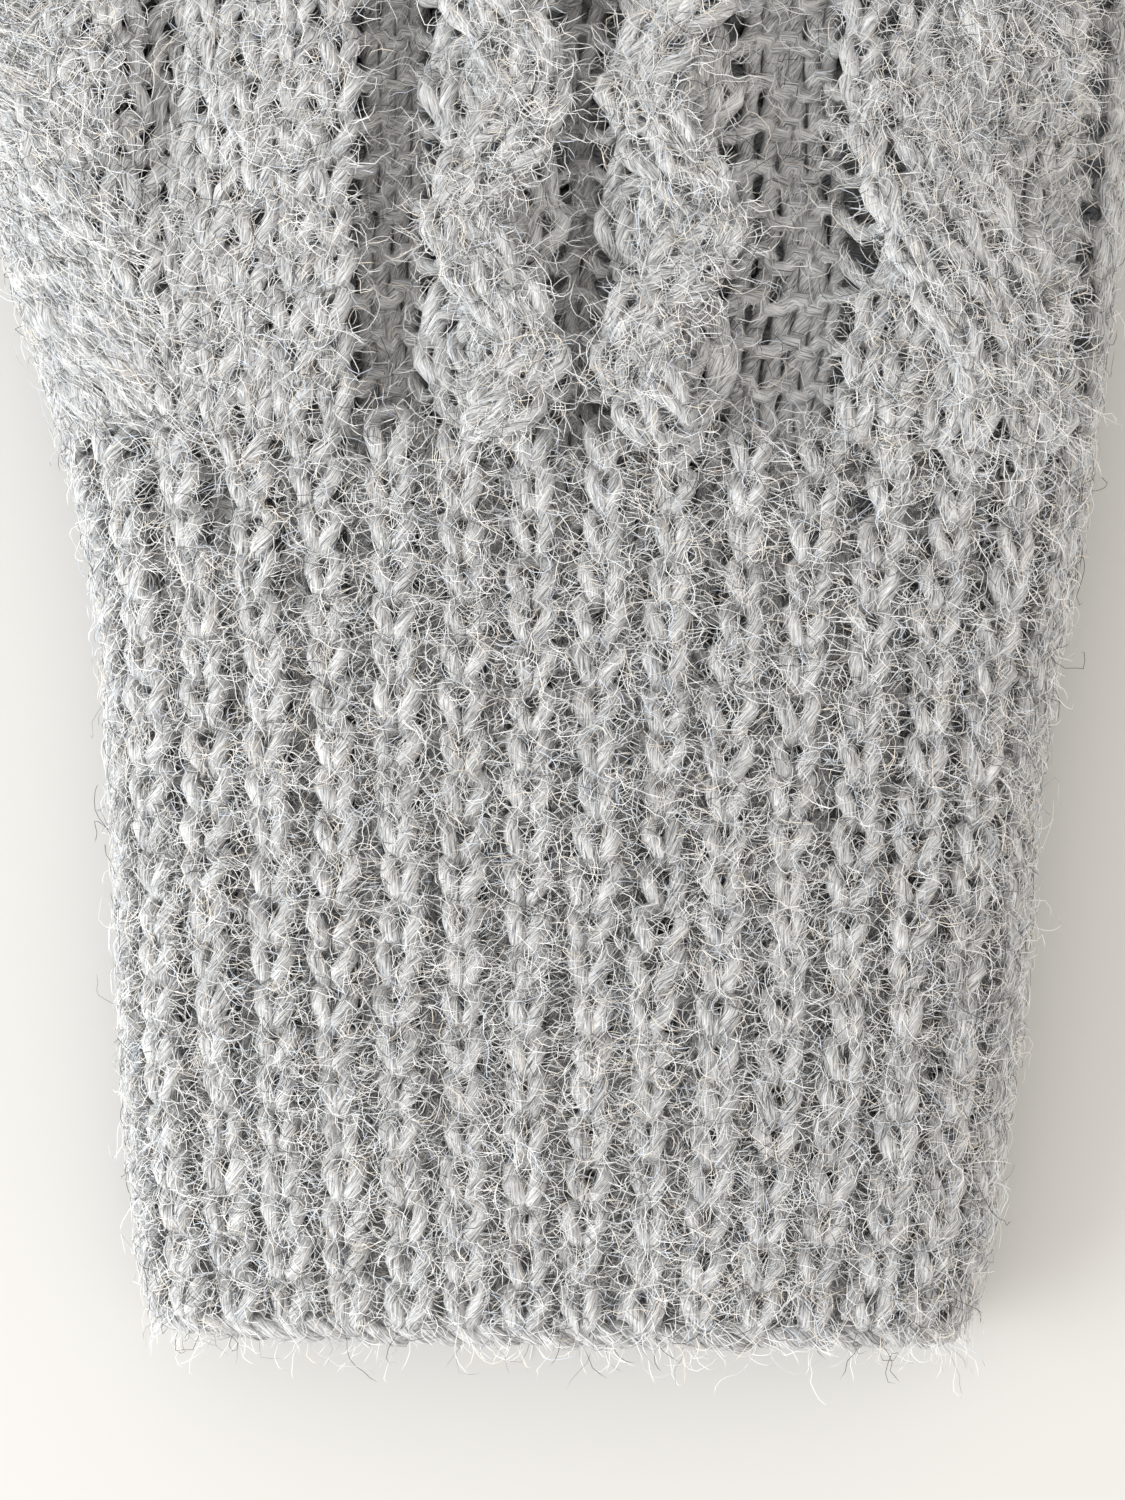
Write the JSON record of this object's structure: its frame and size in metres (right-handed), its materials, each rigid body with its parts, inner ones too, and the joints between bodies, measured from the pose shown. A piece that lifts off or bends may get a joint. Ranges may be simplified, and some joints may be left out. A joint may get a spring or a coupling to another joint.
{
  "type": "knitted mitten",
  "caption": "Right-hand mitten of soft marled grey yarn with a ribbed cuff, crossed cables on its back and a gusseted thumb.",
  "frame": {"origin": "middle of the underside of the mitten's box, where its palm rests", "axes": "+Y from the cuff to the fingertips, +X to the little-finger side, +Z out of the back of the hand"},
  "size_m": [0.1526, 0.272, 0.0314],
  "materials": {
    "rib_knit": "soft brushed marled wool, one-by-one rib",
    "plain_knit": "soft brushed marled wool, stocking stitch",
    "cable_knit": "soft brushed marled wool, raised crossed stitches",
    "edge_knit": "soft brushed marled wool, cast-on edge",
    "yarn_end": "loose two-ply marled yarn"
  },
  "bodies": {
    "hand": {"palm": "plain_knit", "hand_back": "plain_knit", "thumb_gusset": "plain_knit", "cable_centre_left_lower": "cable_knit", "cable_centre_right_lower": "cable_knit", "cable_side_lower": "cable_knit", "wrist_rows": "rib_knit", "knuckle_rows": "plain_knit", "thumb_root_rows": "plain_knit"},
    "cuff": {"ribbed_cuff": "rib_knit", "cast_on_edge": "edge_knit", "cast_on_tail": "yarn_end"},
    "fingers": {"finger_palm": "plain_knit", "finger_back": "plain_knit", "fingertip_crown": "plain_knit", "fingertip_gather": "yarn_end", "fingertip_tail": "yarn_end", "cable_centre_left_upper": "cable_knit", "cable_centre_right_upper": "cable_knit", "cable_side_upper": "cable_knit"},
    "thumb": {"thumb_tube": "plain_knit", "thumb_crown": "plain_knit", "thumb_gather": "yarn_end", "thumb_tail": "yarn_end"}
  },
  "joints": [
    {"name": "wrist_bend", "type": "hinge", "parent": "hand", "child": "cuff", "pos_m": [0.01926, -0.055, 0.011], "axis": [1, 0, 0], "range_deg": [-60, 60], "deforming": ["wrist_rows"]},
    {"name": "knuckle_bend", "type": "hinge", "parent": "hand", "child": "fingers", "pos_m": [0.02426, 0.058, 0.012], "axis": [1, 0, 0], "range_deg": [-60, 60], "deforming": ["knuckle_rows"]},
    {"name": "thumb_swing", "type": "hinge", "parent": "hand", "child": "thumb", "pos_m": [-0.04464, 0.0242, 0.01], "axis": [0, 0, 1], "range_deg": [-10, 30], "deforming": ["thumb_root_rows"]}
  ]
}
